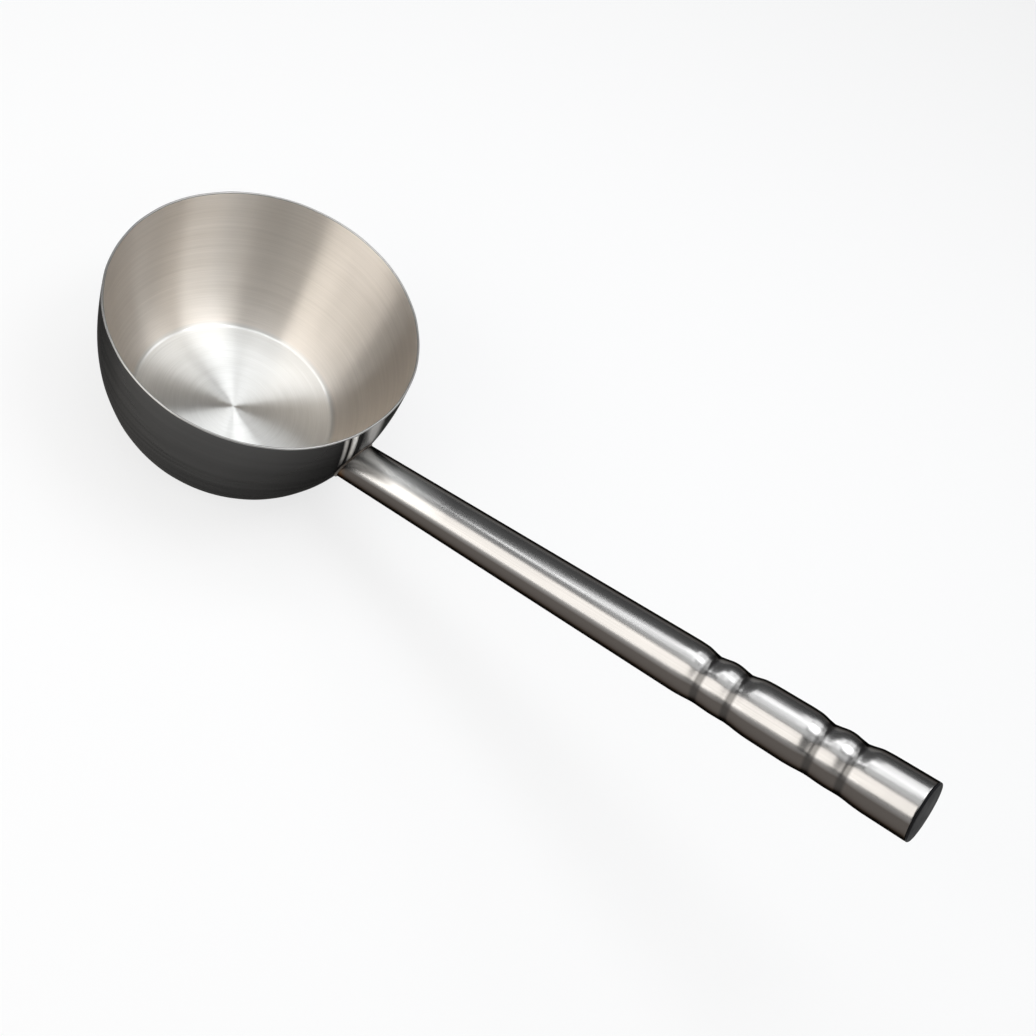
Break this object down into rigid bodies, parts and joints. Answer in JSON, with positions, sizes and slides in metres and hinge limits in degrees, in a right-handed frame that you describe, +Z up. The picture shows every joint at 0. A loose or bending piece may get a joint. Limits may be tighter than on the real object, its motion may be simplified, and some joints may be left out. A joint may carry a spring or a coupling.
{
  "type": "water ladle",
  "caption": "Deep round stainless steel water ladle with a flat floor and a hollow, tapered tube handle welded to the wall, grooved near its plugged end.",
  "frame": {"origin": "centre of the flat face that the bowl stands on", "axes": "+Z up along the axis of the bowl, +X out towards the handle, which rises over +X; the part is symmetric about the XZ plane"},
  "size_m": [0.3538, 0.12, 0.1275],
  "materials": {
    "bowl_steel": "satin, brushed round the bowl's axis",
    "handle_steel": "polished, with a faint grain along the tube",
    "weld_steel": "weld bead with a brown heat tint",
    "plug_plastic": "fine matte moulding"
  },
  "bodies": {
    "root": {"bowl": "bowl_steel", "handle_tube": "handle_steel", "root_weld": "weld_steel", "end_plug": "plug_plastic"}
  },
  "joints": []
}
